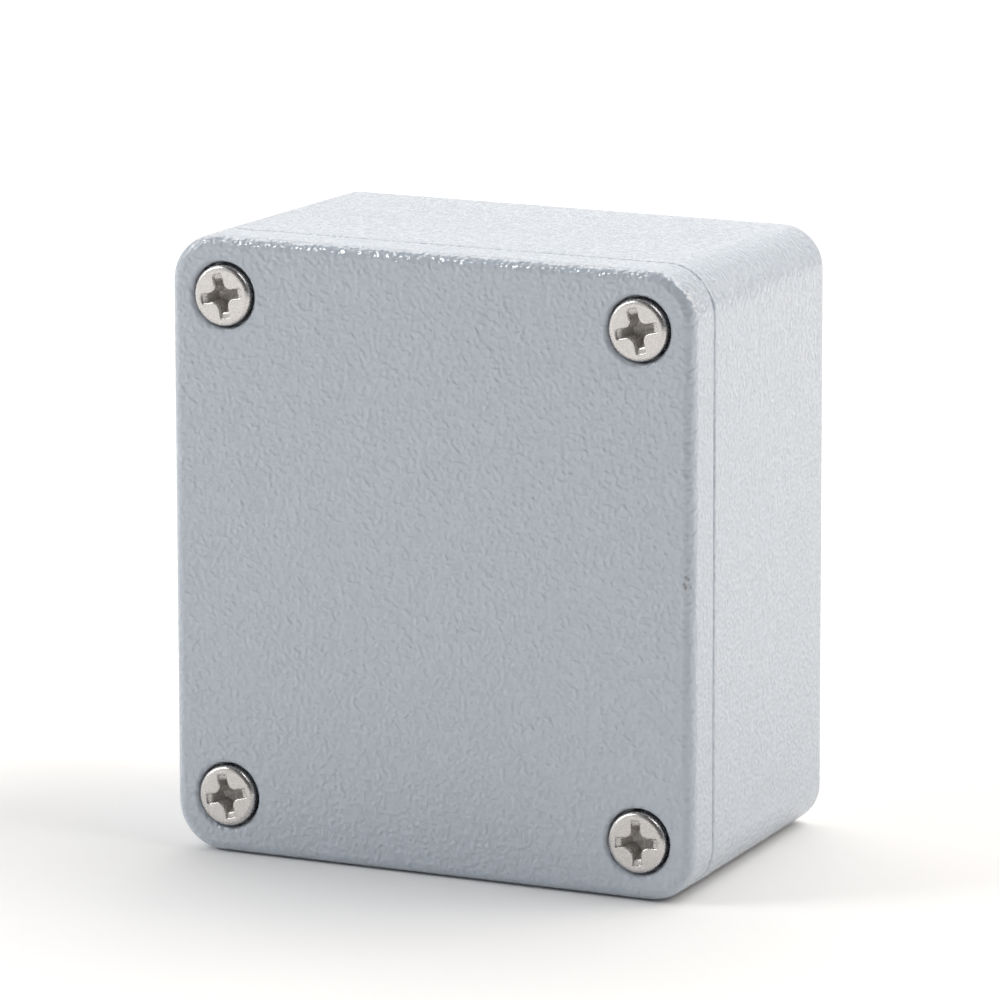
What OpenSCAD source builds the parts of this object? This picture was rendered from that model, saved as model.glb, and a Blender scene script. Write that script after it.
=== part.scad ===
// Small die-cast aluminium junction box with a sealed, screwed lid. Units are millimetres.
// The forms are drawn with the box on its back: x runs across the lid, y up the lid and z from
// the back to the front. stand() then sets the box on its short side with the lid facing -Y.

/* [Box] */
// Width of the box across the lid
box_w = 58; // [52:1:120]
// Height of the box up the lid
box_h = 64; // [58:1:160]
// Depth of the base from its back to the parting line
base_d = 29.8; // [22:0.1:60]
// Depth of the lid from the parting line to its front
lid_d = 5.2; // [4.8:0.1:8]
// Radius of the box's four corners
corner_r = 5; // [4:0.1:7]
// Radius of the edge round the lid's front
front_edge_r = 1.2; // [0.6:0.1:1.8]
// Radius of the edge round the base's back
back_edge_r = 1.5; // [0.6:0.1:1.8]
// Draft of the base's outer sides in degrees
base_draft = 1.2; // [0:0.1:1.6]
// Radius of both rims where they meet at the parting line
seam_r = 0.4; // [0.2:0.05:0.5]

/* [Walls] */
// Thickness of the base's wall at the parting line
wall_t = 3.2; // [2.8:0.1:4]
// Thickness of the base's floor
floor_t = 3; // [2:0.1:5]
// Thickness of the lid's panel inside the seal
panel_t = 2.6; // [1.6:0.1:3.4]
// Radius of the cavity's upright corners at the parting line
cavity_r = 2; // [1.8:0.1:4]
// Draft of the cavity's sides in degrees
cavity_draft = 1; // [0:0.1:1.2]
// Radius of the edge round the floor of the cavity and of the lid's recess
floor_edge_r = 1; // [0.5:0.1:1.2]

/* [Seal] */
// Width of the tongue that stands round the cavity
tongue_w = 1.2; // [0.8:0.1:1.4]
// Height of the tongue above the parting line
tongue_h = 1.2; // [0.8:0.1:1.6]
// Gap between each side of the tongue and the lid's groove
tongue_gap = 0.4; // [0.2:0.05:0.5]
// Thickness of the gasket between the tongue and the groove's end
gasket_t = 1.4; // [0.8:0.1:1.6]
// Gap between the gasket and each side of the lid's groove
gasket_gap = 0.1; // [0.05:0.05:0.2]
// Width of the lid's rib inside the groove
rib_w = 1.2; // [0.8:0.1:2]

/* [Lid screws] */
// Distance from each lid screw to the two sides beside it
screw_inset = 6; // [5.6:0.1:8]
// Diameter of the lid screws' thread
screw_d = 4; // [3:0.1:4.4]
// Length of the lid screws under the head
screw_l = 12; // [8:0.5:16]
// Diameter of the lid screws' heads
screw_head_d = 6.3; // [5.6:0.1:7]
// Height of the lid screws' heads
screw_head_h = 2.5; // [2.2:0.1:2.8]
// How far the heads stand out of the lid
head_proud = 0.4; // [0:0.05:0.8]
// Gap round each head in its counterbore
head_gap = 0.25; // [0.1:0.05:0.5]
// Radius of the rim round each counterbore
counterbore_edge_r = 0.5; // [0.1:0.05:0.6]
// Gap round a thread where it passes freely through a hole
shank_gap = 0.25; // [0.1:0.05:0.4]
// Gap round a thread in its tapped hole
thread_gap = 0.05; // [0.02:0.01:0.1]
// Depth of each tapped hole past the tip of its lid screw
tip_gap = 1.5; // [0.5:0.1:3]
// Turn of each lid screw as last tightened, in degrees: top left, top right, bottom left, bottom right
screw_turns = [12, 13.5, 14, 3.3]; // [0:0.1:90]

/* [Cross recess] */
// Width across the wings of the recess
recess_w = 4.4; // [3.6:0.1:4.8]
// Width of one wing
wing_w = 0.9; // [0.7:0.05:1.1]
// Radius between neighbouring wings
wing_r = 0.8; // [0.4:0.1:1]
// Depth of the recess
recess_depth = 1.9; // [1.4:0.1:2]
// Radius of the recess at its bottom
recess_tip_r = 1.2; // [0.8:0.1:1.6]

/* [Wall fixings] */
// Distance from each wall fixing to the lid screw in its corner
fixing_offset = 8; // [7.4:0.1:10]
// Diameter of the wall fixing holes
fixing_d = 4.5; // [3.5:0.1:5]
// Diameter of the wells above the fixing holes
well_d = 7.6; // [6.5:0.1:8]
// Wall between each well and the cavity
well_wall = 2.2; // [2:0.1:3]
// Thickness of the metal under a fixing screw's head
fixing_seat_t = 4; // [2.5:0.1:6]

/* [Inside fittings] */
// Distance from each standoff to the short side beside it
standoff_inset = 12; // [9:0.5:18]
// Diameter of the standoffs on the floor
standoff_d = 6.5; // [5:0.1:8]
// Height of the standoffs above the floor
standoff_h = 4; // [2:0.1:8]
// Diameter of the tapping hole in each standoff
standoff_hole_d = 2.5; // [2:0.1:3.3]
// Depth of the tapping hole in each standoff
standoff_hole_l = 6; // [3:0.1:6.5]
// Diameter of the earth screw's boss
earth_boss_d = 9; // [8:0.1:10]
// Height of the earth screw's boss above the floor
earth_boss_h = 4; // [3:0.1:8]
// Gap between the earth screw's boss and the wall beside it
earth_boss_gap = 1; // [0.5:0.1:3]
// Diameter of the earth screw's thread
earth_d = 4; // [3:0.1:4.4]
// Length of the earth screw under the head
earth_l = 6; // [5:0.5:6.5]
// Depth of the earth screw's hole past its tip
earth_tip_gap = 0.75; // [0.3:0.05:0.8]
// Diameter of the earth screw's head
earth_head_d = 7.6; // [6.4:0.1:8]
// Height of the earth screw's head
earth_head_h = 2.8; // [2.4:0.1:3.2]
// Outer diameter of the earth washer
washer_d = 8.8; // [8:0.1:10]
// Thickness of the earth washer
washer_t = 0.8; // [0.5:0.1:1.2]

/* [Hidden] */
$fn = 72;
// How far a cutting form runs past the face it opens
cut = 1;
// Rounding of a screw head's top edge, bevel of a screw's tip and of a tapped hole's mouth
head_edge_r = 0.4;
tip_bevel = 0.5;
mouth_bevel = 0.4;
// Least radius left on a corner that is moved inwards, upright and in general
least_end_r = 0.8;
least_r = 0.2;
// How far the arc of a round edge overlaps the faces that it joins, so that it crosses both
edge_lap = 0.002;
// How far the tongue reaches down into the wall that carries it
tongue_root = 1;
// Blend of the cavity's outline into the arc round each well
arc_lap = 1;

overall_d = base_d + lid_d + head_proud;
inner_x = box_w / 2 - wall_t;
inner_y = box_h / 2 - wall_t;
screw_x = box_w / 2 - screw_inset;
screw_y = box_h / 2 - screw_inset;
fixing_x = screw_x;
fixing_y = screw_y - fixing_offset;
lobe_r = well_d / 2 + well_wall;
lobe_x = fixing_x - lobe_r;
lobe_y = fixing_y - lobe_r;
groove_depth = tongue_h + gasket_t;
counterbore_depth = screw_head_h - head_proud;
grip = lid_d - counterbore_depth;
standoff_y = box_h / 2 - standoff_inset;
earth_x = -(inner_x - earth_boss_gap - earth_boss_d / 2);
earth_seat_z = floor_t + earth_boss_h;

cast_colour = [0.66, 0.69, 0.73];
steel_colour = [0.75, 0.74, 0.73];
seal_colour = [0.13, 0.13, 0.14];

// Sets what was drawn with the box on its back upright, on its short side
module stand() {
    translate([0, overall_d / 2, box_h / 2]) rotate([90, 0, 0]) children();
}

// Repeats a form at the same place in each corner
module in_each_corner(x, y) {
    for (side = [-1, 1], end = [-1, 1]) translate([side * x, end * y, 0]) children();
}

module rounded_rect(w, h, r) {
    square([w - 2 * r, h], center = true);
    square([w, h - 2 * r], center = true);
    in_each_corner(w / 2 - r, h / 2 - r) circle(r = r);
}

// Section of a cast form beside the axis of one of its corners. The form's flat face is at y = 0
// and its rim at y = depth, where the corner has the radius r and the rim's edge the radius rim_r.
// Past the rim the side runs straight on for lip, and behind the axis the section reaches in by core.
module cast_section(r, depth, draft, edge_r, rim_r = 0, lip = 0, core = 0) {
    arc_x = r - (depth - edge_r) * tan(draft) - edge_r / cos(draft);
    rim_x = r - rim_r * tan(draft) - rim_r / cos(draft);
    difference() {
        polygon(concat(
            [[-core, 0], [r - depth * tan(draft), 0], [r, depth]],
            lip > 0 ? [[r, depth + lip]] : [],
            [[-core, depth + lip]]
        ));
        translate([arc_x, edge_r]) difference() {
            polygon(2 * edge_r * [[0, 0], [cos(draft), -sin(draft)], [1, -1], [0, -1]]);
            circle(r = edge_r + edge_lap);
        }
        if (rim_r > 0) translate([rim_x, depth - rim_r]) difference() {
            polygon(2 * rim_r * [[0, 0], [cos(draft), -sin(draft)], [1, 1], [0, 1]]);
            circle(r = rim_r + edge_lap);
        }
    }
}

// Solid outside of the base or the lid: round corners, drafted sides and round edges at the flat
// face and at the parting line
module cast_half(depth, draft, edge_r) {
    axis_x = box_w / 2 - corner_r;
    axis_y = box_h / 2 - corner_r;
    for (quarter = [0 : 3]) {
        side = (quarter == 0 || quarter == 3) ? 1 : -1;
        end = quarter < 2 ? 1 : -1;
        translate([side * axis_x, end * axis_y, 0]) rotate(90 * quarter)
            rotate_extrude(angle = 90) cast_section(corner_r, depth, draft, edge_r, seam_r);
    }
    rotate([90, 0, 0]) linear_extrude(2 * axis_y, center = true) for (side = [0, 1])
        mirror([side, 0]) translate([axis_x, 0])
            cast_section(corner_r, depth, draft, edge_r, seam_r, core = axis_x);
    rotate([90, 0, 90]) linear_extrude(2 * axis_x, center = true) for (side = [0, 1])
        mirror([side, 0]) translate([axis_y, 0])
            cast_section(corner_r, depth, draft, edge_r, seam_r, core = axis_y);
}

// One end of a cross pocket, reaching along y from start to the end wall, with drafted sides and a
// round edge at its floor
module pocket_arm(half_w, start, end, r, depth, edge_r, lip) {
    axis_x = half_w - r;
    axis_y = end - r;
    for (side = [0, 1]) mirror([side, 0]) translate([axis_x, axis_y, 0]) rotate_extrude(angle = 90)
        cast_section(r, depth, cavity_draft, edge_r, 0, lip);
    translate([0, axis_y, 0]) rotate([90, 0, 0]) linear_extrude(axis_y - start) for (side = [0, 1])
        mirror([side, 0]) translate([axis_x, 0])
            cast_section(r, depth, cavity_draft, edge_r, 0, lip, axis_x);
    rotate([90, 0, 90]) linear_extrude(2 * axis_x, center = true) translate([axis_y, 0])
        cast_section(r, depth, cavity_draft, edge_r, 0, lip, axis_y - start);
}

// Pocket whose mouth is the cavity's outline moved outwards by grow: a cross with drafted sides and
// round flanks past the wells. Its floor is at z = 0 and its mouth at z = depth.
module cross_pocket(grow, depth, lip) {
    inset = depth * tan(cavity_draft);
    end_r = max(cavity_r + grow, least_end_r);
    edge_r = min(floor_edge_r, end_r - inset - least_r);
    arc_r = lobe_r - grow;
    margin = inset + edge_r + least_r;
    ring_r = (arc_r + margin) * sqrt(2) + least_r;
    for (turn = [0, 180]) {
        rotate(turn) pocket_arm(lobe_x + grow, fixing_y, inner_y + grow, end_r, depth, edge_r, lip);
        rotate(turn + 90) pocket_arm(lobe_y + grow, fixing_x, inner_x + grow, end_r, depth, edge_r, lip);
    }
    for (side = [0, 1], end = [0, 1]) mirror([side, 0]) mirror([0, end])
        translate([fixing_x, fixing_y, 0]) rotate(180) rotate_extrude(angle = 90)
            translate([arc_r + end_r, 0]) mirror([1, 0])
                cast_section(end_r, depth, cavity_draft, edge_r, 0, lip, ring_r - arc_r - end_r);
    linear_extrude(depth + lip) {
        square([2 * (lobe_x + grow - margin), 2 * fixing_y], center = true);
        square([2 * fixing_x, 2 * (lobe_y + grow - margin)], center = true);
    }
}

// Outline of the cavity moved outwards by grow: a cross whose inner corners run round the wells
module cavity_outline(grow = 0) {
    arc_r = lobe_r - grow;
    end_r = max(cavity_r + grow, least_r);
    rounded_rect(2 * (lobe_x + grow), 2 * (inner_y + grow), end_r);
    rounded_rect(2 * (inner_x + grow), 2 * (lobe_y + grow), end_r);
    for (side = [0, 1], end = [0, 1]) mirror([side, 0]) mirror([0, end])
        translate([fixing_x, fixing_y]) difference() {
            translate([-arc_r - arc_lap, -arc_r - arc_lap]) square(arc_r + arc_lap);
            circle(r = arc_r);
        }
}

// Outline of a band that follows the cavity, from inner to outer
module seal_band(inner, outer) {
    difference() {
        cavity_outline(outer);
        cavity_outline(inner);
    }
}

// Hole for a thread, cut down from z = 0, with a bevelled mouth
module tapped_hole(d, depth) {
    translate([0, 0, -depth]) cylinder(d = d, h = depth + cut);
    translate([0, 0, -mouth_bevel]) cylinder(d1 = d, d2 = d + 2 * mouth_bevel, h = mouth_bevel);
}

// Seat for a lid screw's head, cut down from z = 0 along +z, with a round rim
module counterbore() {
    r = screw_head_d / 2 + head_gap;
    rotate_extrude() {
        translate([0, -cut]) square([r, counterbore_depth + cut]);
        translate([0, -cut]) square([r + counterbore_edge_r, cut]);
        difference() {
            square([r + counterbore_edge_r, counterbore_edge_r]);
            translate([r + counterbore_edge_r, counterbore_edge_r]) circle(r = counterbore_edge_r);
        }
    }
}

module cross_outline() {
    reach = wing_w / 2 + wing_r;
    square([recess_w + cut, wing_w], center = true);
    square([wing_w, recess_w + cut], center = true);
    difference() {
        square(2 * reach, center = true);
        in_each_corner(reach, reach) circle(r = wing_r);
    }
}

// Recess for a cross-point driver, cut down from z = 0, with wings that narrow to the bottom
module cross_recess() {
    flare = (recess_w / 2 - recess_tip_r) / recess_depth;
    translate([0, 0, -recess_depth]) intersection() {
        linear_extrude(recess_depth + cut) cross_outline();
        cylinder(
            r1 = recess_tip_r, r2 = recess_tip_r + (recess_depth + cut) * flare,
            h = recess_depth + cut
        );
    }
}

// Screw with its head on z = 0 and its thread below
module cross_screw(d, l, head_d, head_h) {
    difference() {
        rotate_extrude() {
            polygon([
                [0, -l],
                [d / 2 - tip_bevel, -l],
                [d / 2, -l + tip_bevel],
                [d / 2, 0],
                [head_d / 2, 0],
                [head_d / 2, head_h - head_edge_r],
                [head_d / 2 - head_edge_r, head_h],
                [0, head_h]
            ]);
            translate([head_d / 2 - head_edge_r, head_h - head_edge_r]) circle(r = head_edge_r);
        }
        translate([0, 0, head_h]) cross_recess();
    }
}

module base() {
    color(cast_colour) stand() difference() {
        union() {
            difference() {
                union() {
                    cast_half(base_d, base_draft, back_edge_r);
                    translate([0, 0, base_d - tongue_root]) linear_extrude(tongue_root + tongue_h)
                        cavity_outline(tongue_w);
                }
                translate([0, 0, floor_t]) cross_pocket(0, base_d - floor_t, tongue_h + cut);
            }
            for (end = [-1, 1]) translate([0, end * standoff_y, 0])
                cylinder(d = standoff_d, h = floor_t + standoff_h);
            translate([earth_x, 0, 0]) cylinder(d = earth_boss_d, h = earth_seat_z);
        }
        in_each_corner(fixing_x, fixing_y) {
            translate([0, 0, -cut]) cylinder(d = fixing_d, h = base_d);
            translate([0, 0, fixing_seat_t]) cylinder(d = well_d, h = base_d);
        }
        in_each_corner(screw_x, screw_y) translate([0, 0, base_d])
            tapped_hole(screw_d + 2 * thread_gap, screw_l - grip + tip_gap);
        for (end = [-1, 1]) translate([0, end * standoff_y, floor_t + standoff_h])
            tapped_hole(standoff_hole_d, standoff_hole_l);
        translate([earth_x, 0, earth_seat_z])
            tapped_hole(earth_d + 2 * thread_gap, earth_l - washer_t + earth_tip_gap);
    }
}

// The lid is drawn from its front face inwards and turned over
module lid() {
    color(cast_colour) stand() translate([0, 0, base_d + lid_d]) mirror([0, 0, 1]) difference() {
        cast_half(lid_d, 0, front_edge_r);
        translate([0, 0, lid_d - groove_depth]) linear_extrude(groove_depth + cut)
            seal_band(-tongue_gap, tongue_w + tongue_gap);
        translate([0, 0, panel_t]) cross_pocket(-tongue_gap - rib_w, lid_d - panel_t, cut);
        in_each_corner(screw_x, screw_y) {
            counterbore();
            cylinder(d = screw_d + 2 * shank_gap, h = lid_d + cut);
        }
    }
}

module gasket() {
    color(seal_colour) stand() translate([0, 0, base_d + tongue_h]) linear_extrude(gasket_t)
        seal_band(gasket_gap - tongue_gap, tongue_w + tongue_gap - gasket_gap);
}

module lid_screw(side, end, turn) {
    color(steel_colour) stand() translate([side * screw_x, end * screw_y, base_d + grip]) rotate(turn)
        cross_screw(screw_d, screw_l, screw_head_d, screw_head_h);
}

module earth_screw() {
    color(steel_colour) stand() translate([earth_x, 0, earth_seat_z + washer_t])
        cross_screw(earth_d, earth_l, earth_head_d, earth_head_h);
}

module earth_washer() {
    color(steel_colour) stand() translate([earth_x, 0, earth_seat_z]) difference() {
        cylinder(d = washer_d, h = washer_t);
        translate([0, 0, -cut]) cylinder(d = earth_d + 2 * shank_gap, h = washer_t + 2 * cut);
    }
}

base();
lid();
gasket();
lid_screw(-1, 1, screw_turns[0]);  // lid_screw_top_left
lid_screw(1, 1, screw_turns[1]);  // lid_screw_top_right
lid_screw(-1, -1, screw_turns[2]);  // lid_screw_bottom_left
lid_screw(1, -1, screw_turns[3]);  // lid_screw_bottom_right
earth_screw();
earth_washer();
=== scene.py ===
"""Looks of a small die-cast aluminium junction box with a sealed, screwed lid.

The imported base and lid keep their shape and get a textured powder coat. The screws, the seal and the earth
washer are made again here as smooth surfaces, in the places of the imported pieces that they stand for. Sizes
are in millimetres and colours are linear, unless a comment says otherwise.
"""

import logging
import math
from dataclasses import dataclass
from enum import Enum
from typing import Any

import bpy
import numpy as np
from mathutils import Matrix, Vector


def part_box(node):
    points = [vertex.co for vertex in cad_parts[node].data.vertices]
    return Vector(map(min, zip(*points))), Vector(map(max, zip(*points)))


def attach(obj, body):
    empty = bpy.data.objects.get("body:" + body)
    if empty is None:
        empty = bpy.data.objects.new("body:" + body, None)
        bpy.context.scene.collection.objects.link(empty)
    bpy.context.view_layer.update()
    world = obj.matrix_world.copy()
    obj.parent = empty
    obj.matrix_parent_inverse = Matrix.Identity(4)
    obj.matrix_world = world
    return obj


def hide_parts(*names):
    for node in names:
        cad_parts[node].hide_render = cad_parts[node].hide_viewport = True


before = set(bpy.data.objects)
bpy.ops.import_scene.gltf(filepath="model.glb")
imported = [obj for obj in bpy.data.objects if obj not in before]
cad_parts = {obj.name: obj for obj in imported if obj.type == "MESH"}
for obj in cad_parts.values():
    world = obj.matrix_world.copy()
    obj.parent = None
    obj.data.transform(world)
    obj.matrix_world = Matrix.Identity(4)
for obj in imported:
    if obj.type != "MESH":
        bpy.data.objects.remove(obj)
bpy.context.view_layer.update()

MM = 0.001
TINY = 1e-6  # keeps a division finite
NOISE_BAND = (0.3, 0.7)  # most values of a noise lie between these
EARTH_HEAD_H = 2.8
log = logging.getLogger("junction_box")

Array = np.ndarray
Colour = tuple[float, float, float, float]
Socket = bpy.types.NodeSocket


class Slot(Enum):
    """The record's material slots."""

    COAT = "powder_coat"
    STEEL = "screw_steel"
    RUBBER = "seal_rubber"


class Corner(Enum):
    """The corners of the lid, each with the turn in degrees at which its screw was left."""

    TOP_LEFT = ("top_left", 12.0)
    TOP_RIGHT = ("top_right", 13.5)
    BOTTOM_LEFT = ("bottom_left", 14.0)
    BOTTOM_RIGHT = ("bottom_right", 3.3)

    @property
    def node(self) -> str:
        """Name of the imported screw, which is also the name of its body."""
        return f"lid_screw_{self.value[0]}"

    @property
    def piece(self) -> str:
        """Name of the modelled screw."""
        return f"{self.value[0]}_screw"

    @property
    def turn(self) -> float:
        """Turn of the cross recess in degrees, anticlockwise as seen from the front."""
        return self.value[1]


class Graph:
    """A node tree with short calls that add nodes and join them."""

    def __init__(self, tree: bpy.types.NodeTree) -> None:
        """Empties the tree and keeps it."""
        self.tree = tree
        self.tree.nodes.clear()

    def add(self, kind: str, inputs: dict[str | int, Any] | None = None, **settings: Any) -> bpy.types.Node:
        """Adds a node and fills its sockets.

        Args:
            kind: The node's type without the leading "ShaderNode".
            inputs: A socket's name or number with a constant, or with the socket that feeds it.
            **settings: The node's own settings, such as its operation.

        Returns:
            The new node.
        """
        node = self.tree.nodes.new("ShaderNode" + kind)
        for key, value in settings.items():
            setattr(node, key, value)
        for key, value in (inputs or {}).items():
            if isinstance(value, Socket):
                self.tree.links.new(value, node.inputs[key])
            else:
                node.inputs[key].default_value = value
        return node

    def calc(self, operation: str, *values: float | Socket) -> Socket:
        """One step of arithmetic on its values."""
        return self.add("Math", dict(enumerate(values)), operation=operation).outputs[0]

    def vector(self, operation: str, *values: Any) -> bpy.types.Node:
        """One step of arithmetic on vectors."""
        return self.add("VectorMath", dict(enumerate(values)), operation=operation)

    def mix(self, share: Socket, first: Colour | Socket, second: Colour | Socket) -> Socket:
        """A colour that goes from first to second as share goes from 0 to 1, on the colour sockets."""
        node = self.add("Mix", {0: share, 6: first, 7: second}, data_type="RGBA")
        return node.outputs[2]

    def span(self, value: Socket, low: float, high: float, to_low: float, to_high: float) -> Socket:
        """A value carried from one range to another, and held inside it."""
        inputs = {0: value, 1: low, 2: high, 3: to_low, 4: to_high}
        return self.add("MapRange", inputs).outputs[0]

    def place(self) -> Socket:
        """The place on the piece, in metres."""
        return self.add("TexCoord").outputs["Object"]

    def noise(self, place: Socket, feature: float, detail: float = 2.0, **inputs: float) -> bpy.types.Node:
        """Soft noise whose lumps are about feature millimetres apart."""
        sockets = {"Vector": place, "Scale": 1 / (feature * MM), "Detail": detail}
        return self.add("TexNoise", sockets | {key.title(): value for key, value in inputs.items()})

    def bump(self, height: Socket, depth: float) -> Socket:
        """A normal bent by a height that goes from 0 to 1 over depth millimetres."""
        inputs = {"Strength": 1.0, "Distance": depth * MM, "Height": height}
        return self.add("Bump", inputs).outputs[0]

    def surface(self, inputs: dict[str, Any]) -> None:
        """Ends the tree in one principled surface."""
        shader = self.add("BsdfPrincipled", inputs)
        self.add("OutputMaterial", {"Surface": shader.outputs[0]})


def new_material(name: str) -> tuple[bpy.types.Material, Graph]:
    """A node material and its empty graph."""
    material = bpy.data.materials.new(name)
    material.use_nodes = True
    return material, Graph(material.node_tree)


def new_object(name: str, data: bpy.types.ID) -> bpy.types.Object:
    """An object at the origin, linked to the scene."""
    holder = bpy.data.objects.new(name, data)
    bpy.context.scene.collection.objects.link(holder)
    return holder


def direction(azimuth: float, elevation: float) -> Vector:
    """Unit vector from the box towards a place, its level part as long as the elevation's cosine.

    Args:
        azimuth: Degrees round the box, from the front towards the right.
        elevation: Degrees above the level.

    Returns:
        The vector.
    """
    turn, rise = math.radians(azimuth), math.radians(elevation)
    level = math.cos(rise)
    return Vector((math.sin(turn) * level, -math.cos(turn) * level, math.sin(rise)))


@dataclass(frozen=True)
class BareSpot:
    """A round patch of bare machined metal in the coat, on an axis that runs from front to back.

    Attributes:
        across: The axis's place across the lid.
        up: The axis's height above the surface that the box stands on.
        radius: The patch's radius.
        front: Where the patch starts, from front to back.
        back: Where it ends.
        mirrored: Whether all four corners of the box have it.
    """

    across: float
    up: float
    radius: float
    front: float
    back: float
    mirrored: bool = False

    def mask(self, graph: Graph, place: Socket, mid_height: float) -> Socket:
        """1 inside the patch's cylinder and 0 outside it.

        Args:
            graph: The material's graph.
            place: The place on the piece.
            mid_height: Height of the plane about which the corners are mirrored.

        Returns:
            The mask's socket.
        """
        centred = graph.vector("SUBTRACT", place, (0.0, 0.0, mid_height * MM)).outputs[0]
        flat = graph.vector("MULTIPLY", centred, (1.0, 0.0, 1.0)).outputs[0]
        if self.mirrored:
            flat = graph.vector("ABSOLUTE", flat).outputs[0]
        axis = (self.across * MM, 0.0, (self.up - mid_height) * MM)
        reach = graph.vector("DISTANCE", flat, axis).outputs["Value"]
        depth = graph.add("SeparateXYZ", {0: place}).outputs["Y"]
        inside = graph.calc("LESS_THAN", reach, self.radius * MM)
        behind = graph.calc("GREATER_THAN", depth, self.front * MM)
        before = graph.calc("LESS_THAN", depth, self.back * MM)
        return graph.calc("MULTIPLY", inside, graph.calc("MULTIPLY", behind, before))


@dataclass(frozen=True)
class Speck:
    """A small dark chip in the coat.

    Attributes:
        place: Its middle.
        size: Its half length across, along and up.
        core: Share of it that is fully dark.
    """

    place: tuple[float, float, float]
    size: tuple[float, float, float]
    core: float = 0.5

    def mask(self, graph: Graph, place: Socket) -> Socket:
        """1 at the middle of the chip, falling to 0 at its edge."""
        away = graph.vector("SUBTRACT", place, tuple(v * MM for v in self.place)).outputs[0]
        scaled = graph.vector("DIVIDE", away, tuple(v * MM for v in self.size)).outputs[0]
        reach = graph.vector("LENGTH", scaled).outputs["Value"]
        return graph.span(reach, self.core, 1.0, 1.0, 0.0)


@dataclass(frozen=True)
class PowderCoat:
    """Grey powder coat with a leathery orange-peel grain, over die-cast aluminium.

    Attributes:
        colour: The coat's colour.
        hollow_shade: Share by which the colour is darker in the grain's hollows and lighter on its lumps:
            painted shade and light.
        peel: Distance between the grain's lumps.
        swirl: How far the grain's noise shifts its own place.
        height: Height of the lumps.
        roughness: Roughness in the hollows and on the lumps.
        gloss: Strength of the coat's mirror reflection, where 0.5 is that of plain lacquer.
        metal: Colour of the bare metal.
        metal_roughness: Roughness of the bare metal.
        pitch: Distance between the grooves that a tap leaves in the bare metal.
        chip: Colour of a chip in the coat.
    """

    colour: Colour = (0.445, 0.49, 0.55, 1.0)
    hollow_shade: float = 0.03
    peel: float = 0.475
    swirl: float = 0.25
    height: float = 0.13
    roughness: tuple[float, float] = (0.17, 0.11)
    gloss: float = 1.0
    metal: Colour = (0.70, 0.70, 0.69, 1.0)
    metal_roughness: float = 0.36
    pitch: float = 0.7
    chip: Colour = (0.2, 0.2, 0.205, 1.0)

    def material(
        self, name: str, mid_height: float, bare: tuple[BareSpot, ...] = (), specks: tuple[Speck, ...] = ()
    ) -> bpy.types.Material:
        """The coat as a material.

        The grain's height is a noise read at a place that the noise itself shifts, so that neighbouring
        lumps run into worms. The hollows between them are painted a little darker and the lumps a little
        lighter, as painted shade and light. In the bare metal the height goes up and down with the depth
        instead, which grooves the tapped holes and leaves the flat seats plain.

        Args:
            name: The material's name.
            mid_height: Height of the plane about which mirrored bare spots repeat.
            bare: Where the metal shows.
            specks: Chips in the coat.

        Returns:
            The material.
        """
        material, graph = new_material(name)
        place = graph.place()
        grain = graph.noise(place, self.peel, detail=0.0, distortion=self.swirl).outputs[0]
        # Painted shade and light: the grain's hollows darker and its lumps lighter, following the bump's
        # height.
        low, high = (tuple(c * (1 + s * self.hollow_shade) for c in self.colour[:3]) + (1.0,) for s in (-1, 1))
        colour = graph.mix(graph.span(grain, *NOISE_BAND, 0.0, 1.0), low, high)
        roughness = graph.span(grain, *NOISE_BAND, *self.roughness)
        inputs: dict[str, Any] = {"Specular IOR Level": self.gloss}
        for speck in specks:
            colour = graph.mix(speck.mask(graph, place), colour, self.chip)
        if bare:
            mask = bare[0].mask(graph, place, mid_height)
            for spot in bare[1:]:
                mask = graph.calc("MAXIMUM", mask, spot.mask(graph, place, mid_height))
            colour = graph.mix(mask, colour, self.metal)
            inputs["Metallic"] = mask
            roughness = graph.calc("MAXIMUM", roughness, graph.calc("MULTIPLY", mask, self.metal_roughness))
            depth = graph.add("SeparateXYZ", {0: place}).outputs["Y"]
            flank = self.pitch / 2 * MM
            groove = graph.calc("DIVIDE", graph.calc("PINGPONG", depth, flank), flank)
            coated = graph.calc("MULTIPLY", grain, graph.calc("SUBTRACT", 1.0, mask))
            grain = graph.calc("MULTIPLY_ADD", groove, mask, coated)
        inputs["Base Color"] = colour
        inputs["Roughness"] = roughness
        inputs["Normal"] = graph.bump(grain, self.height)
        graph.surface(inputs)
        return material


@dataclass(frozen=True)
class ScrewSteel:
    """Bright plated steel with a fine scuffed skin, with painted shade down in the recess.

    Attributes:
        colour: The plating's colour.
        recess_shade: Colour down in the recess, a darker copy of the plating that stands in for its shade.
        roughness: Roughness of the skin, where it is smoothest and where it is dullest.
        scuff: Distance between its scuffs.
        scuff_depth: Depth of the scuffs.
        shine: How far the recess, under its painted shade, is still metal.
    """

    colour: Colour = (0.58, 0.56, 0.545, 1.0)
    recess_shade: Colour = (0.5, 0.475, 0.455, 1.0)
    roughness: tuple[float, float] = (0.21, 0.35)
    scuff: float = 0.22
    scuff_depth: float = 0.002
    shine: float = 0.15

    def material(self, name: str) -> bpy.types.Material:
        """The steel as a material, which paints shade in the recess by how deep a mesh point lies in it."""
        material, graph = new_material(name)
        place = graph.place()
        scuffs = graph.noise(place, self.scuff, detail=3.0).outputs[0]
        deep = graph.add("Attribute", attribute_name=CrossScrew.DEPTH).outputs["Fac"]
        # Painted shade: the recess is darker and less metal the deeper a place lies in it.
        graph.surface(
            {
                "Base Color": graph.mix(deep, self.colour, self.recess_shade),
                "Metallic": graph.span(deep, 0.0, 1.0, 1.0, self.shine),
                "Roughness": graph.span(scuffs, *NOISE_BAND, *self.roughness),
                "Normal": graph.bump(scuffs, self.scuff_depth),
            }
        )
        return material


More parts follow.
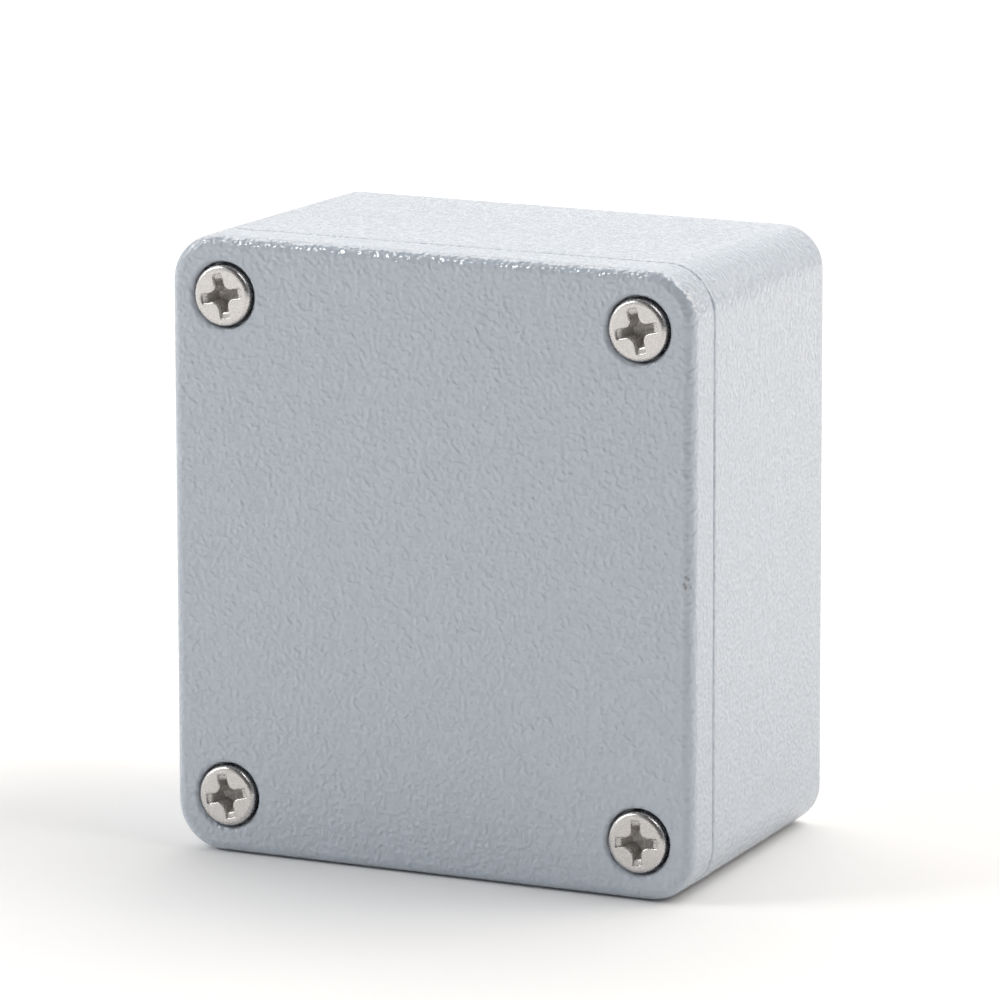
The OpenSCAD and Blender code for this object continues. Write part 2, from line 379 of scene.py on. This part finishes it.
@dataclass(frozen=True)
class SealRubber:
    """Black moulded rubber with a fine matt skin.

    Attributes:
        colour: The rubber's colour.
        bloom: Colour of the dusty bloom on it.
        patch: Distance between the patches of bloom.
        patch_band: Values of their noise between which the bloom thickens.
        roughness: Roughness in the pits of the skin and between them.
        skin: Distance between the pits.
        skin_depth: Depth of the pits.
    """

    colour: Colour = (0.022, 0.022, 0.024, 1.0)
    bloom: Colour = (0.05, 0.05, 0.052, 1.0)
    patch: float = 4.0
    patch_band: tuple[float, float] = (0.45, 0.75)
    roughness: tuple[float, float] = (0.5, 0.68)
    skin: float = 0.15
    skin_depth: float = 0.005

    def material(self, name: str) -> bpy.types.Material:
        """The rubber as a material."""
        material, graph = new_material(name)
        place = graph.place()
        pits = graph.noise(place, self.skin).outputs[0]
        dust = graph.noise(place, self.patch, detail=3.0).outputs[0]
        bloom = graph.span(dust, *self.patch_band, 0.0, 1.0)
        graph.surface(
            {
                "Base Color": graph.mix(bloom, self.colour, self.bloom),
                "Roughness": graph.span(pits, *NOISE_BAND, *self.roughness),
                "Normal": graph.bump(pits, self.skin_depth),
            }
        )
        return material


@dataclass
class Skin:
    """A closed surface as whole arrays.

    Attributes:
        points: One row of three coordinates for each vertex, in metres.
        blocks: Arrays of faces, one for each number of corners.
    """

    points: Array
    blocks: list[Array]

    @staticmethod
    def ring_quads(rows: int, cols: int, closed: bool = False) -> Array:
        """Faces of a grid whose columns close into rings.

        The corners of face (i, j) are (i, j), (i, j + 1), (i + 1, j + 1) and (i + 1, j), with j + 1 taken
        modulo the number of columns, and i + 1 modulo the number of rows if the rows close too.

        Args:
            rows: Number of rings.
            cols: Number of vertices on each ring.
            closed: Whether the last ring joins the first.

        Returns:
            One row of four vertex numbers for each face.
        """
        i, j = np.meshgrid(np.arange(rows if closed else rows - 1), np.arange(cols), indexing="ij")
        below, beside = (i + 1) % rows, (j + 1) % cols
        corners = [i * cols + j, i * cols + beside, below * cols + beside, below * cols + j]
        return np.stack(corners, axis=-1).reshape(-1, 4)

    @classmethod
    def with_poles(cls, rings: Array, first: Array, last: Array) -> "Skin":
        """A grid of rings closed by a fan of triangles at each end.

        Args:
            rings: The grid's points, as rows, columns and coordinates.
            first: The pole before the first ring.
            last: The pole after the last ring.

        Returns:
            The closed surface.
        """
        rows, cols = rings.shape[:2]
        points = np.concatenate([rings.reshape(-1, 3), first[None], last[None]])
        here = np.arange(cols)
        beside = (here + 1) % cols
        end = (rows - 1) * cols
        fans = [
            np.stack([np.full(cols, rows * cols), beside, here], axis=1),
            np.stack([np.full(cols, rows * cols + 1), end + here, end + beside], axis=1),
        ]
        return cls(points, [cls.ring_quads(rows, cols), np.concatenate(fans)])

    @classmethod
    def torus(cls, rings: Array) -> "Skin":
        """A grid that closes both ways."""
        rows, cols = rings.shape[:2]
        return cls(rings.reshape(-1, 3), [cls.ring_quads(rows, cols, closed=True)])

    @staticmethod
    def turned(axis: Array, front: float, radius: Array, depth: Array, angle: Array) -> Array:
        """Rings about an axis that runs from front to back.

        Across and up, a point is the axis plus its radius times the cosine and the sine of its angle.

        Args:
            axis: A point on the axis.
            front: Where the depths are counted from.
            radius: Distances from the axis, with a row for each ring.
            depth: Depths of the rings, as a column.
            angle: Angles round the axis, as a row.

        Returns:
            The points, as rows, columns and coordinates.
        """
        across, up = axis[0] + radius * np.cos(angle), axis[2] + radius * np.sin(angle)
        return np.stack([across, np.broadcast_to(front + depth, across.shape), up], axis=-1)

    def volume(self) -> float:
        """Volume inside the faces, a sixth of the sum of each triangle's triple product."""
        total = 0.0
        for block in self.blocks:
            for k in range(1, block.shape[1] - 1):
                a, b, c = (self.points[block[:, n]] for n in (0, k, k + 1))
                total += float(np.einsum("ij,ij->", a, np.cross(b, c))) / 6
        return total

    def build(self, name: str, material: bpy.types.Material, crease: float = 35.0) -> bpy.types.Object:
        """Makes the surface an object at the origin, with its faces outwards.

        Args:
            name: The object's name.
            material: Its finish.
            crease: Angle in degrees above which an edge stays sharp.

        Returns:
            The object.
        """
        outwards = slice(None) if self.volume() > 0 else slice(None, None, -1)
        faces = [face for block in self.blocks for face in block[:, outwards].tolist()]
        mesh = bpy.data.meshes.new(name)
        mesh.from_pydata(self.points.tolist(), [], faces)
        mesh.shade_smooth()
        mesh.set_sharp_from_angle(angle=math.radians(crease))
        mesh.materials.append(material)
        return new_object(name, mesh)


def join_frame(piece: bpy.types.Object, body: str, node: str) -> None:
    """Makes a new piece stand for a packed one.

    Args:
        piece: The new piece.
        body: The body that it moves with.
        node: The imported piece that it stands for.
    """
    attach(piece, body)
    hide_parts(node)
    log.info("%s: %d faces, rides on %s", piece.name, len(piece.data.polygons), body)


@dataclass
class CrossScrew:
    """A cheese-head machine screw with a cross recess, its head towards the front.

    Attributes:
        head_h: Height of the head.
        edge_r: Rounding of the head's edge.
        recess_w: Width across the wings of the recess.
        wing_w: Width of a wing at the head's face.
        wing_r: Radius between neighbouring wings.
        recess_depth: Depth of the wings.
        recess_tip_r: Reach of the wings at that depth.
        taper: Share by which they narrow down to it.
        flare_depth: Depth of the steeper flare at the mouth of the wings.
        flare: How far the wings draw in over that depth.
        point: Depth of the cone below the wings.
        rim_r: Rounding of the recess's rim.
        shade_depth: Depth at which the painted shade in the recess becomes full.
        seat_gap: Gap left between the head and its seat, so that the two never share a face.
        burr: Bevel of the head's back edge, and height of the neck below it.
        thread_d: Diameter over the thread's crests.
        root_d: Diameter at its roots.
        pitch: Distance between crests.
        root_flat: Share of the pitch that is flat at the root.
        flanks: Share of the pitch that both flanks take up.
        tip_bevel: Bevel of the screw's tip.
        around: Number of places round the screw.
        wall_rings: Number of rings down the recess's walls.
        mouth_rings: Number of rings in its flare.
        rim_rings: Number of rings on its rounded rim.
        edge_rings: Number of rings on the head's rounded edge.
        per_pitch: Number of rings for each turn of the thread.
        floor_shares: Sizes of the rings between the recess's point and its walls, as shares of the wall.
        face_shares: Places of the rings on the head's face, as shares of the way from the rim to the edge.
    """

    # Name of the attribute that carries the share of the recess's painted shade.
    DEPTH = "recess_depth"

    head_h: float = 2.5
    edge_r: float = 0.5
    recess_w: float = 4.5
    wing_w: float = 0.9
    wing_r: float = 0.8
    recess_depth: float = 1.9
    recess_tip_r: float = 1.2
    taper: float = 0.2
    flare_depth: float = 0.35
    flare: float = 0.5
    point: float = 0.3
    rim_r: float = 0.2
    shade_depth: float = 0.6
    seat_gap: float = 0.01
    burr: float = 0.12
    thread_d: float = 4.0
    root_d: float = 3.25
    pitch: float = 0.7
    root_flat: float = 0.1
    flanks: float = 0.75
    tip_bevel: float = 0.5
    around: int = 192
    wall_rings: int = 6
    mouth_rings: int = 3
    rim_rings: int = 5
    edge_rings: int = 7
    per_pitch: int = 8
    floor_shares: tuple[float, ...] = (0.35, 0.7)
    face_shares: tuple[float, ...] = (0.08, 0.3, 0.6, 0.9, 1.0)

    def cross(self, theta: Array, reach: Array, half: Array, fillet: Array) -> Array:
        """Distance from the axis to the recess's outline, by angle.

        In the eighth of a turn beside a wing, the outline is a circle of radius reach at the wing's end, a
        straight side at half the wing's width, then a circle of radius fillet whose centre is on the
        diagonal. The nearest of these to the axis holds.

        Args:
            theta: Angles round the axis, as a row.
            reach: Distance to the wings' ends, as a column.
            half: Half the wings' width, as a column.
            fillet: Radius between the wings, as a column.

        Returns:
            Distances, with a row for each row of the columns.
        """
        off = np.abs((theta + math.pi / 4) % (math.pi / 2) - math.pi / 4)
        side = half / np.maximum(np.sin(off), TINY)
        centre = half + fillet
        along = centre * (np.cos(off) + np.sin(off))
        arc = along - np.sqrt(np.maximum(along**2 - 2 * centre**2 + fillet**2, 0.0))
        inner = np.where(off > np.arctan2(half, centre), arc, side)
        return np.minimum(inner, reach)

    def recess(self, theta: Array) -> tuple[Array, Array]:
        """Rings of the recess, from its bottom to its rounded rim on the head's face.

        The wings' reach falls with depth, first along the flare and then along a steeper line, and their
        width falls evenly. The rim turns through a quarter circle. Smaller copies of the lowest ring lead
        down to the point.

        Args:
            theta: Angles round the axis.

        Returns:
            Depths as a column, and distances from the axis.
        """
        rim = self.rim_r
        wall = np.linspace(self.recess_depth, self.flare_depth, self.wall_rings, endpoint=False)
        mouth = np.linspace(self.flare_depth, rim, self.mouth_rings, endpoint=False)
        depth = np.concatenate([wall, mouth])
        depths = [0.0, self.flare_depth, self.recess_depth]
        mouth_r = self.recess_w / 2
        reach = np.interp(depth, depths, [mouth_r, mouth_r - self.flare, self.recess_tip_r])
        half = self.wing_w / 2 * (1 - self.taper * depth / self.recess_depth)
        turn = np.linspace(0, math.pi / 2, self.rim_rings)
        grow = rim * (1 - np.cos(turn))
        depth = np.concatenate([depth, rim * (1 - np.sin(turn))])
        reach = np.concatenate([reach, mouth_r + grow])
        half = np.concatenate([half, self.wing_w / 2 + grow])
        fillet = np.concatenate([np.full(len(wall) + len(mouth), self.wing_r), self.wing_r - grow])
        walls = self.cross(theta[None], reach[:, None], half[:, None], fillet[:, None])
        scale = np.array(self.floor_shares)
        floor = scale[:, None] * walls[:1]
        floor_depth = self.recess_depth + self.point * (1 - scale)
        return np.concatenate([floor_depth, depth])[:, None], np.concatenate([floor, walls])

    def head(self, theta: Array, mouth: Array, head_r: float) -> tuple[Array, Array]:
        """Rings of the head, from the recess's rim over the flat face and the round edge to the neck.

        Args:
            theta: Angles round the axis.
            mouth: Distances from the axis to the recess's rim.
            head_r: Radius of the head.

        Returns:
            Depths as a column, and distances from the axis.
        """
        face_r = head_r - self.edge_r
        share = np.array(self.face_shares)[:, None]
        face = mouth[None] * (1 - share) + face_r * share
        turn = np.linspace(0, math.pi / 2, self.edge_rings + 1)[1:]
        back, burr = self.head_h - self.seat_gap, self.burr
        side = [head_r, head_r - burr, self.thread_d / 2, self.root_d / 2]
        side_depth = [back - burr, back, back, back + burr]
        edge = np.concatenate([face_r + self.edge_r * np.sin(turn), side])
        edge_depth = np.concatenate([self.edge_r * (1 - np.cos(turn)), side_depth])
        depth = np.concatenate([np.zeros(len(share)), edge_depth])[:, None]
        return depth, np.concatenate([face, np.repeat(edge[:, None], len(theta), axis=1)])

    def thread(self, theta: Array, length: float) -> tuple[Array, Array]:
        """Rings of the thread and the bevelled tip.

        A right-hand ridge rises and falls once for each pitch of depth plus turn of angle, with flats at
        its crest and root. It runs out under the head and at the bevel.

        Args:
            theta: Angles round the axis.
            length: Depth of the tip below the head's face.

        Returns:
            Depths as a column, and distances from the axis.
        """
        start = self.head_h + self.burr
        rows = int(round((length - start) / self.pitch * self.per_pitch))
        depth = np.linspace(start, length, rows)[:, None]
        phase = (depth / self.pitch + theta[None] / (2 * math.pi)) % 1
        ridge = np.clip((1 - np.abs(2 * phase - 1) - self.root_flat) / self.flanks, 0, 1)
        ridge = ridge * np.clip((depth - start) / self.pitch, 0, 1)
        radius = self.root_d / 2 + ridge * (self.thread_d - self.root_d) / 2
        bevel = self.thread_d / 2 - self.tip_bevel + (length - depth)
        return depth, np.minimum(radius, bevel)

    def build(self, name: str, node: str, turn: float, material: bpy.types.Material) -> bpy.types.Object:
        """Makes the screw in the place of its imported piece.

        Args:
            name: The screw's name.
            node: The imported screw.
            turn: Turn of the recess in degrees.
            material: The screw's finish.

        Returns:
            The screw.
        """
        low, high = (np.array(corner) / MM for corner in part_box(node))
        axis, size = (low + high) / 2, high - low
        theta = np.linspace(0, 2 * math.pi, self.around, endpoint=False)
        recess = self.recess(theta)
        parts = [recess, self.head(theta, recess[1][-1], size[0] / 2), self.thread(theta, size[1])]
        depth = np.concatenate([part[0] for part in parts])
        radius = np.concatenate([part[1] for part in parts])
        rings = Skin.turned(axis, low[1], radius, depth, theta + math.radians(turn))
        bottom = low[1] + self.recess_depth + self.point
        poles = [np.array([axis[0], y, axis[2]]) * MM for y in (bottom, high[1])]
        piece = Skin.with_poles(rings * MM, *poles).build(name, material)
        # Painted shade in the recess: a share that grows with depth and is full at shade_depth.
        recess_shade_share = np.zeros(radius.shape)
        recess_shade_share[: len(recess[0])] = np.clip(recess[0] / self.shade_depth, 0, 1)
        values = np.concatenate([recess_shade_share.ravel(), [1.0, 0.0]])  # the poles, in the recess and at the tip
        mark = piece.data.attributes.new(self.DEPTH, "FLOAT", "POINT")
        mark.data.foreach_set("value", values.astype(np.float32))
        return piece


@dataclass
class Screws:
    """The four lid screws and the earth screw.

    Attributes:
        lid: Sizes of a lid screw.
        earth: Sizes of the earth screw.
        steel: Their finish.
    """

    lid: CrossScrew
    earth: CrossScrew
    steel: ScrewSteel

    def build(self) -> None:
        """Makes the five screws, each on its own body."""
        material = self.steel.material("plated_steel")
        for corner in Corner:
            piece = self.lid.build(corner.piece, corner.node, corner.turn, material)
            join_frame(piece, corner.node, corner.node)
        piece = self.earth.build("earthing_screw", "earth_screw", 0.0, material)
        join_frame(piece, "earth_screw", "earth_screw")


@dataclass
class EarthWasher:
    """The plain washer under the earth screw, with the rounded edge that stamping leaves on one side.

    Attributes:
        hole_d: Diameter of the hole.
        round_r: Rounding of the stamped edge.
        burr: Bevel of the other edges.
        round_rings: Number of rings on the stamped edge.
        around: Number of places round the washer.
    """

    hole_d: float = 4.5
    round_r: float = 0.25
    burr: float = 0.06
    round_rings: int = 7
    around: int = 128

    def profile(self, outer: float, thick: float) -> tuple[Array, Array]:
        """The washer's section: a rectangle with one rounded corner and three bevelled ones.

        Args:
            outer: The washer's radius.
            thick: Its thickness.

        Returns:
            Distances from the axis, and depths from the front face.
        """
        inner, turn = self.hole_d / 2, np.linspace(0, math.pi / 2, self.round_rings)
        curve_r = outer - self.round_r + self.round_r * np.sin(turn)
        curve_h = self.round_r * (1 - np.cos(turn))
        radius = np.concatenate(
            [[inner + self.burr], curve_r, [outer, outer - self.burr, inner + self.burr, inner, inner]]
        )
        depth = np.concatenate(
            [[0.0], curve_h, [thick - self.burr, thick, thick, thick - self.burr, self.burr]]
        )
        return radius, depth

    def build(self, steel: ScrewSteel) -> None:
        """Turns the section about the earth screw's axis."""
        low, high = (np.array(corner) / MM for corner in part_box("earth_washer"))
        axis, thick = (low + high) / 2, high[1] - low[1]
        radius, depth = self.profile((high[0] - low[0]) / 2, thick)
        theta = np.linspace(0, 2 * math.pi, self.around, endpoint=False)
        rings = Skin.turned(axis, low[1], radius[:, None], depth[:, None], theta)
        piece = Skin.torus(rings * MM).build("earthing_washer", steel.material("washer_steel"))
        join_frame(piece, "base", "earth_washer")


@dataclass
class LidSeal:
    """The moulded rubber seal in the lid's groove, which the tongue of the base presses.

    Attributes:
        arm_x: Half width of the upright arm, to the seal's middle line.
        arm_y: Half height of the level arm, to the seal's middle line.
        corner_r: Radius of the outer corners.
        well: Place of the fixing well that the seal passes in each corner.
        well_r: Radius of the seal's bend round it.
        width: Width of the seal.
        power: Power of the superellipse that its section follows.
        lip: Height of the lips that the tongue has squeezed up on both sides.
        lip_at: Their place, as a share of the width.
        lip_w: Their width.
        corner_steps: Number of points on the middle line's outer corners.
        bend_steps: Number of points on its bends round the wells.
        steps: Number of places along the seal.
        around: Number of places round its section.
        crease: Angle in degrees above which an edge of the section stays sharp.
    """

    arm_x: float = 17.6
    arm_y: float = 12.6
    corner_r: float = 2.6
    well: tuple[float, float] = (23.0, 18.0)
    well_r: float = 5.4
    width: float = 1.8
    power: float = 6.0
    lip: float = 0.15
    lip_at: float = 0.38
    lip_w: float = 0.12
    corner_steps: int = 24
    bend_steps: int = 48
    steps: int = 640
    around: int = 40
    crease: float = 60.0

    def quarter(self, reach_x: float, reach_y: float) -> Array:
        """The middle line in the upper right quarter, from the top to the right.

        It is a straight, an outer corner, a straight, a bend round the well, a short straight, an outer
        corner and a straight.

        Args:
            reach_x: Farthest reach of the line across.
            reach_y: Farthest reach of the line upwards.

        Returns:
            Points across and up.
        """
        r = self.corner_r
        fall = np.radians(np.linspace(90, 0, self.corner_steps))
        bend = np.radians(np.linspace(180, 270, self.bend_steps))
        top = np.array([self.arm_x - r, reach_y - r]) + r * np.stack([np.cos(fall), np.sin(fall)], axis=1)
        inner = np.array(self.well) + self.well_r * np.stack([np.cos(bend), np.sin(bend)], axis=1)
        right = np.array([reach_x - r, self.arm_y - r]) + r * np.stack([np.cos(fall), np.sin(fall)], axis=1)
        return np.concatenate([[[0.0, reach_y]], top, inner, right, [[reach_x, 0.0]]])

    def line(self, reach_x: float, reach_y: float) -> Array:
        """The whole middle line: the quarter mirrored three times, then spaced evenly by length.

        Args:
            reach_x: Farthest reach of the line across.
            reach_y: Farthest reach of the line upwards.

        Returns:
            Points across and up, clockwise.
        """
        part = self.quarter(reach_x, reach_y)
        back = part[::-1][1:]
        loop = np.concatenate([part, back * [1, -1], part[1:] * [-1, -1], back * [-1, 1]])
        run = np.concatenate([[0.0], np.cumsum(np.linalg.norm(np.diff(loop, axis=0), axis=1))])
        even = np.linspace(0, run[-1], self.steps, endpoint=False)
        return np.stack([np.interp(even, run, loop[:, k]) for k in (0, 1)], axis=1)

    def section(self, thick: float) -> tuple[Array, Array]:
        """The seal's section: a rounded rectangle with a lip along both edges of its back.

        The rectangle is a superellipse, and each lip is a bell curve added to the side that the tongue
        meets.

        Args:
            thick: The seal's thickness.

        Returns:
            Places across the seal, and depths from its middle towards the back.
        """
        turn = np.linspace(0, 2 * math.pi, self.around, endpoint=False)
        c, s = np.cos(turn), np.sin(turn)
        across = self.width / 2 * np.sign(c) * np.abs(c) ** (2 / self.power)
        depth = thick / 2 * np.sign(s) * np.abs(s) ** (2 / self.power)
        bell = np.exp(-(((np.abs(across) - self.lip_at * self.width) / self.lip_w) ** 2))
        return across, depth + self.lip * bell * (s > 0)

    def build(self, rubber: SealRubber) -> None:
        """Carries the section along the middle line."""
        low, high = (np.array(corner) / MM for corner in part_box("gasket"))
        middle, size = (low + high) / 2, high - low
        line = self.line((size[0] - self.width) / 2, (size[2] - self.width) / 2)
        tangent = np.roll(line, -1, axis=0) - np.roll(line, 1, axis=0)
        tangent /= np.linalg.norm(tangent, axis=1, keepdims=True)
        normal = np.stack([-tangent[:, 1], tangent[:, 0]], axis=1)
        across, depth = self.section(size[1])
        rings = np.stack(
            [
                middle[0] + line[:, :1] + normal[:, :1] * across,
                np.broadcast_to(middle[1] + depth, (len(line), len(depth))),
                middle[2] + line[:, 1:] + normal[:, 1:] * across,
            ],
            axis=-1,
        )
        material = rubber.material("moulded_rubber")
        piece = Skin.torus(rings * MM).build("lid_seal", material, self.crease)
        join_frame(piece, "lid", "gasket")


@dataclass
class Casting:
    """The die-cast base and lid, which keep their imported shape.

    Attributes:
        coat: Their finish.
        screw_at: Place of the lid screw in the upper right corner.
        earth_x: Place of the earth screw across the base.
        standoff_z: Heights of the two standoffs.
        tapped_r: Radius within which a tapped hole is bare metal.
        standoff_r: The same for a standoff's hole.
        washer_r: Radius of the face milled for the earth washer.
        seat_r: Radius of the seat under a lid screw's head.
        seat_depth: Depth of that seat below the lid's front.
        skim: How far to either side of a milled face the metal is bare.
        specks: Chips in the lid's coat.
    """

    coat: PowderCoat
    screw_at: tuple[float, float] = (23.0, 58.0)
    earth_x: float = -20.3
    standoff_z: tuple[float, float] = (12.0, 52.0)
    tapped_r: float = 2.35
    standoff_r: float = 1.4
    washer_r: float = 4.4
    seat_r: float = 3.1
    seat_depth: float = 2.1
    skim: float = 0.05
    specks: tuple[Speck, ...] = (
        Speck((28.2, -17.2, 33.56), (0.26, 0.3, 0.26), core=0.2),
        Speck((28.42, -17.15, 33.34), (0.26, 0.3, 0.26), core=0.2),
        Speck((28.02, -17.25, 32.84), (0.22, 0.3, 0.3), core=0.3),
        Speck((28.16, -17.22, 32.54), (0.22, 0.3, 0.36), core=0.3),
        Speck((28.62, -17.05, 32.52), (0.18, 0.3, 0.24), core=0.1),
    )

    def dress(self) -> None:
        """Coats the base and the lid, with bare metal where they are machined."""
        low, high = (np.array(corner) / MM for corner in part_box("lid"))
        rear, washer_back = (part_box(node)[1].y / MM for node in ("base", "earth_washer"))
        middle, parting = (low[2] + high[2]) / 2, high[1]
        across, up = self.screw_at
        bare = (
            BareSpot(across, up, self.tapped_r, parting + self.skim, rear, mirrored=True),
            BareSpot(self.earth_x, middle, self.washer_r, washer_back - self.skim, washer_back + self.skim),
            BareSpot(self.earth_x, middle, self.tapped_r, washer_back, rear),
            *(BareSpot(0.0, z, self.standoff_r, washer_back - self.skim, rear) for z in self.standoff_z),
        )
        seat = low[1] + self.seat_depth
        rubbed = (BareSpot(across, up, self.seat_r, seat - self.skim, seat + self.skim, mirrored=True),)
        finishes = {
            "base": self.coat.material("coated_base", middle, bare),
            "lid": self.coat.material("coated_lid", middle, rubbed, self.specks),
        }
        for node, material in finishes.items():
            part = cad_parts[node]
            for holder in part.material_slots:
                holder.material = material
            log.info("%s: packed shape, coated", node)


@dataclass(frozen=True)
class Softbox:
    """A soft lamp aimed at the box.

    Attributes:
        name: The lamp's name.
        azimuth: Where it stands, in degrees round the box from the front towards the right.
        elevation: Its height in degrees.
        distance: Its distance.
        size: Its width and its depth or height.
        level: How bright it alone makes a white card that faces it, where 1 is white.
        colour: Colour of its light.
    """

    name: str
    azimuth: float
    elevation: float
    distance: float
    size: tuple[float, float]
    level: float
    colour: tuple[float, float, float] = (1.0, 1.0, 1.0)

    def build(self, aim: Vector) -> None:
        """Sets the lamp up: its power is the level times four pi times the distance squared."""
        lamp = bpy.data.lights.new(self.name, "AREA")
        lamp.shape = "RECTANGLE"
        lamp.size, lamp.size_y = (side * MM for side in self.size)
        lamp.energy = self.level * 4 * math.pi * (self.distance * MM) ** 2
        lamp.color = self.colour
        holder = new_object(self.name, lamp)
        towards = direction(self.azimuth, self.elevation)
        holder.location = aim + towards * self.distance * MM
        holder.rotation_euler = towards.to_track_quat("Z", "Y").to_euler()


@dataclass(frozen=True)
class FloorPaper:
    """White paper that glows a little where it is seen or mirrored, more so away from the box.

    Attributes:
        colour: The paper's colour.
        roughness: Its roughness.
        gloss: Strength of its mirror reflection.
        glow: Light that it adds near the box and far from it.
        fade: Distances from the box's middle between which that light grows.
    """

    colour: Colour = (0.86, 0.86, 0.86, 1.0)
    roughness: float = 0.9
    gloss: float = 0.1
    glow: tuple[float, float] = (0.0, 0.35)
    fade: tuple[float, float] = (70.0, 500.0)

    def material(self, name: str) -> bpy.types.Material:
        """The paper as a material."""
        material, graph = new_material(name)
        path = graph.add("LightPath").outputs
        seen = graph.calc("MAXIMUM", path["Is Camera Ray"], path["Is Glossy Ray"])
        seen = graph.calc("MAXIMUM", seen, path["Is Transmission Ray"])
        away = graph.vector("LENGTH", graph.place()).outputs["Value"]
        glow = graph.span(away, *(reach * MM for reach in self.fade), *self.glow)
        graph.surface(
            {
                "Base Color": self.colour,
                "Roughness": self.roughness,
                "Specular IOR Level": self.gloss,
                "Emission Color": (1.0, 1.0, 1.0, 1.0),
                "Emission Strength": graph.calc("MULTIPLY", seen, glow),
            }
        )
        return material


@dataclass
class Studio:
    """White floor, soft light and the camera.

    Attributes:
        azimuth: Where the camera stands, in degrees round the box from the front towards the right.
        elevation: Its height in degrees.
        roll: Its roll in degrees.
        distance: Its distance from the point that it looks at.
        aim: That point.
        focal: Focal length in widths of the picture.
        sensor: Width of the sensor.
        near_clip: Distance from which the camera sees.
        paper: The floor's finish.
        floor_size: Width of the floor.
        floor_rise: Slope of the floor in degrees, by which the drafted side of the base rests flat on it.
        floor_gap: Gap between the floor and the box.
        air: Brightness of the white surroundings.
        room: Brightness of the dim part of the room.
        room_way: Where the dim part lies, as a direction.
        room_band: Cosines to that direction between which the room dims.
        backdrop: Brightness that the lit backdrop adds.
        backdrop_way: Where the backdrop is brightest, as a direction.
        backdrop_band: Cosines to that direction between which the backdrop brightens.
        lamps: The lamps.
    """

    azimuth: float = 25.384
    elevation: float = 11.865
    roll: float = -0.133
    distance: float = 787.58
    aim: tuple[float, float, float] = (-0.389, 0.2, 35.549)
    focal: float = 7.695997
    sensor: float = 36.0
    near_clip: float = 10.0
    paper: FloorPaper = FloorPaper()
    floor_size: float = 8000.0
    floor_rise: float = 1.2
    floor_gap: float = 0.02
    air: float = 0.56
    room: float = 0.12
    room_way: tuple[float, float, float] = (0.4, -0.6, 0.69)
    room_band: tuple[float, float] = (0.1, 0.8)
    backdrop: float = 0.66
    backdrop_way: tuple[float, float, float] = (-0.35, 0.93, 0.1)
    backdrop_band: tuple[float, float] = (0.65, 1.0)
    lamps: tuple[Softbox, ...] = (
        Softbox("back_softbox", 172.0, 60.0, 900.0, (800.0, 450.0), 0.26, (1.0, 0.95, 0.89)),
        Softbox("left_softbox", -118.0, 50.0, 900.0, (500.0, 400.0), 0.13, (1.0, 0.95, 0.89)),
        Softbox("left_spot", -52.0, 43.0, 700.0, (150.0, 150.0), 0.13),
        Softbox("right_strip", 97.0, 54.0, 700.0, (300.0, 400.0), 0.33),
        Softbox("right_softbox", 126.0, 24.0, 900.0, (450.0, 450.0), 0.26, (1.0, 0.88, 0.76)),
        Softbox("left_strip", -68.0, 24.0, 900.0, (200.0, 400.0), 0.13),
        Softbox("left_panel", -50.0, 20.0, 900.0, (1400.0, 800.0), 0.17),
    )

    def floor(self) -> None:
        """A plane that touches the box under the parting line and rises with the distance behind it."""
        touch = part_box("lid")[1].y / MM
        half = self.floor_size / 2
        x, back = half * np.array([-1, 1, 1, -1]), half * np.array([-1, -1, 1, 1])
        z = back * math.tan(math.radians(self.floor_rise)) - self.floor_gap
        points = np.stack([x, touch + back, z], axis=-1) * MM
        mesh = bpy.data.meshes.new("studio_floor")
        mesh.from_pydata(points.tolist(), [], [range(len(points))])
        mesh.materials.append(self.paper.material("floor_paper"))
        new_object("studio_floor", mesh)

    def surroundings(self) -> None:
        """White air, dimmer towards one side of the room and brighter towards the backdrop.

        Both follow the cosine between the direction looked in and the direction of that side.
        """
        world = bpy.data.worlds.new("white_air")
        world.use_nodes = True
        graph = Graph(world.node_tree)
        way = graph.add("TexCoord").outputs["Generated"]
        near = graph.vector("DOT_PRODUCT", way, self.room_way).outputs["Value"]
        behind = graph.vector("DOT_PRODUCT", way, self.backdrop_way).outputs["Value"]
        strength = graph.calc(
            "ADD",
            graph.span(near, *self.room_band, self.air, self.room),
            graph.span(behind, *self.backdrop_band, 0.0, self.backdrop),
        )
        sky = graph.add("Background", {"Color": (1.0, 1.0, 1.0, 1.0), "Strength": strength})
        graph.add("OutputWorld", {"Surface": sky.outputs[0]})
        bpy.context.scene.world = world

    def camera(self) -> None:
        """A long lens at the view's angle: the camera stands back from the aim along its own axis."""
        turn, roll = math.radians(self.azimuth), math.radians(self.roll)
        back = direction(self.azimuth, self.elevation)
        right = Vector((math.cos(turn), math.sin(turn), 0.0))
        stand = Matrix((right, back.cross(right), back)).transposed().to_4x4()
        lens = bpy.data.cameras.new("long_lens")
        lens.sensor_fit = "HORIZONTAL"
        lens.sensor_width = self.sensor
        lens.lens = self.focal * self.sensor
        lens.clip_start = self.near_clip * MM
        holder = new_object("long_lens", lens)
        place = (Vector(self.aim) + back * self.distance) * MM
        holder.matrix_world = Matrix.Translation(place) @ stand @ Matrix.Rotation(roll, 4, "Z")
        bpy.context.scene.camera = holder

    def build(self) -> None:
        """Sets the studio up."""
        bpy.context.scene.view_settings.view_transform = "Standard"
        self.floor()
        self.surroundings()
        for lamp in self.lamps:
            lamp.build(Vector(self.aim) * MM)
        self.camera()
        log.info("studio: %d lamps", len(self.lamps))


def main() -> None:
    """Builds the studio, dresses the castings and makes the pieces that they hold."""
    logging.basicConfig(level=logging.INFO, format="%(message)s")
    steel = ScrewSteel()
    Studio().build()
    Casting(PowderCoat()).dress()
    Screws(CrossScrew(), CrossScrew(head_h=EARTH_HEAD_H), steel).build()
    EarthWasher().build(steel)
    LidSeal().build(SealRubber())


if __name__ == "__main__":
    main()
